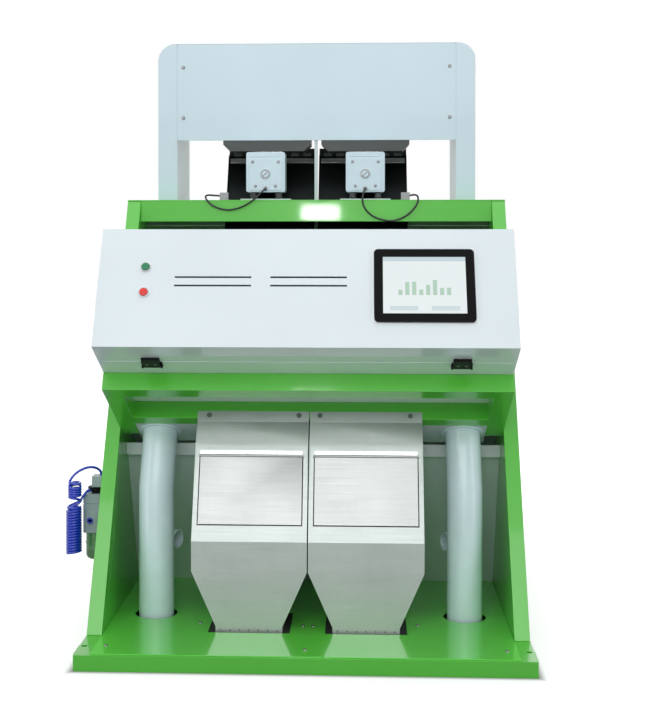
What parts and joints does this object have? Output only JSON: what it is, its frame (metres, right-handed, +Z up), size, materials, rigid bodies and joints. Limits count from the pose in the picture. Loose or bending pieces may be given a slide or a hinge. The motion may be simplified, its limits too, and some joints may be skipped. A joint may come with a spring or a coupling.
{
  "type": "optical colour sorter",
  "caption": "Floor-standing grain colour sorter with a feed hopper and vibrating trays over leaning chutes, a hinged console with a touch panel, product hoppers and dust pipes on a frame",
  "frame": {"origin": "on the floor under the middle of the base", "axes": "+X to the right seen from the front, -Y to the front, +Z up"},
  "size_m": [1.307, 1.3, 1.75],
  "materials": {
    "green_paint": "gloss powder coat, mid green",
    "white_paint": "satin powder coat, cool white",
    "brushed_sheet": "brushed stainless sheet",
    "bright_steel": "zinc-plated and turned steel",
    "dark_chute": "dark anodised running face",
    "black_plastic": "moulded black",
    "start_green": "translucent green cap",
    "stop_red": "red cap",
    "display_glass": "lit display face",
    "clear_glass": "clear inspection window",
    "lamp_grey": "extruded lamp body",
    "manifold_aluminium": "machined block",
    "pipe_white": "moulded duct, off white",
    "boot_rubber": "moulded skirt",
    "cable_rubber": "round sheath",
    "air_grey": "painted die casting",
    "bowl_green": "tinted bowl",
    "hose_blue": "polyurethane tube"
  },
  "bodies": {
    "frame": {"base_frame": "green_paint", "base_plate": "green_paint", "panel_screws": "bright_steel", "front_posts": "green_paint", "rear_posts": "green_paint", "top_rails": "green_paint", "top_beams": "green_paint", "side_panels": "green_paint", "top_decks": "green_paint", "shelf_frame": "green_paint", "console_box": "white_paint", "hinge_pins": "bright_steel", "latch_bases": "black_plastic", "hood_shell": "white_paint", "hood_panels": "white_paint", "feed_hopper": "brushed_sheet", "vibrator_housings": "white_paint", "vibrator_covers": "white_paint", "isolator_springs": "bright_steel", "vibrator_bases": "white_paint", "leaf_springs": "brushed_sheet", "cable_connectors": "manifold_aluminium", "vibrator_cable_left": "cable_rubber", "vibrator_cable_right": "cable_rubber", "chutes": "dark_chute", "chute_supports": "brushed_sheet", "centre_strut": "white_paint", "front_cameras": "black_plastic", "lamp_bars": "lamp_grey", "front_glass": "clear_glass", "ejector_manifold": "manifold_aluminium", "optical_floor": "white_paint", "reject_slide": "white_paint", "rear_optical_box": "white_paint", "dust_pipes": "pipe_white", "dust_branches": "pipe_white", "hopper_left": "brushed_sheet", "hopper_right": "brushed_sheet", "hopper_boots": "boot_rubber", "air_body": "air_grey", "air_bowl": "bowl_green", "air_outlet_block": "air_grey", "air_hose_leads": "hose_blue", "air_hose_upper_coil": "hose_blue", "air_hose_lower_coil": "hose_blue"},
    "lid": {"console_lid": "white_paint", "screen_bezel": "black_plastic", "screen_glass": "display_glass", "button_bezels": "white_paint", "latch_keepers": "black_plastic"},
    "start_button": {"start_button": "start_green"},
    "stop_button": {"stop_button": "stop_red"},
    "latch_lever_left": {"latch_lever_left": "black_plastic"},
    "latch_lever_right": {"latch_lever_right": "black_plastic"},
    "hopper_flap_left": {"hopper_flap_left": "brushed_sheet"},
    "hopper_flap_right": {"hopper_flap_right": "brushed_sheet"},
    "feed_tray_left": {"feed_tray_left": "brushed_sheet"},
    "feed_tray_right": {"feed_tray_right": "brushed_sheet"},
    "air_knob": {"air_knob": "black_plastic"},
    "rear_door": {"rear_door": "green_paint"}
  },
  "joints": [
    {"name": "lid_hinge", "type": "hinge", "parent": "frame", "child": "lid", "pos_m": [0, -0.36323, 1.10812], "axis": [-1, 0, 0], "range_deg": [0, 80]},
    {"name": "start_press", "type": "slide", "parent": "lid", "child": "start_button", "axis": [0, 0.8829, -0.4695], "range_m": [0, 0.003], "stiffness_N_per_m": 300, "springref_m": -0.004},
    {"name": "stop_press", "type": "slide", "parent": "lid", "child": "stop_button", "axis": [0, 0.8829, -0.4695], "range_m": [0, 0.003], "stiffness_N_per_m": 300, "springref_m": -0.004},
    {"name": "latch_left", "type": "hinge", "parent": "frame", "child": "latch_lever_left", "pos_m": [-0.414, -0.51128, 0.77855], "axis": [1, 0, 0], "range_deg": [0, 110]},
    {"name": "latch_right", "type": "hinge", "parent": "frame", "child": "latch_lever_right", "pos_m": [0.414, -0.51128, 0.77855], "axis": [1, 0, 0], "range_deg": [0, 110]},
    {"name": "flap_left_hinge", "type": "hinge", "parent": "frame", "child": "hopper_flap_left", "pos_m": [-0.1605, -0.35519, 0.51399], "axis": [-1, 0, 0], "range_deg": [0, 100]},
    {"name": "flap_right_hinge", "type": "hinge", "parent": "frame", "child": "hopper_flap_right", "pos_m": [0.1605, -0.35519, 0.51399], "axis": [-1, 0, 0], "range_deg": [0, 100]},
    {"name": "tray_left_shake", "type": "slide", "parent": "frame", "child": "feed_tray_left", "axis": [0, 1, 0], "range_m": [-0.0015, 0.0015], "stiffness_N_per_m": 60000},
    {"name": "tray_right_shake", "type": "slide", "parent": "frame", "child": "feed_tray_right", "axis": [0, 1, 0], "range_m": [-0.0015, 0.0015], "stiffness_N_per_m": 60000},
    {"name": "pressure_knob", "type": "hinge", "parent": "frame", "child": "air_knob", "pos_m": [-0.631, -0.21, 0.387], "axis": [0, 0, 1], "range_deg": [-180, 180]},
    {"name": "rear_door_hinge", "type": "hinge", "parent": "frame", "child": "rear_door", "pos_m": [-0.555, 0.642, 0.6], "axis": [0, 0, 1], "range_deg": [0, 110]}
  ]
}
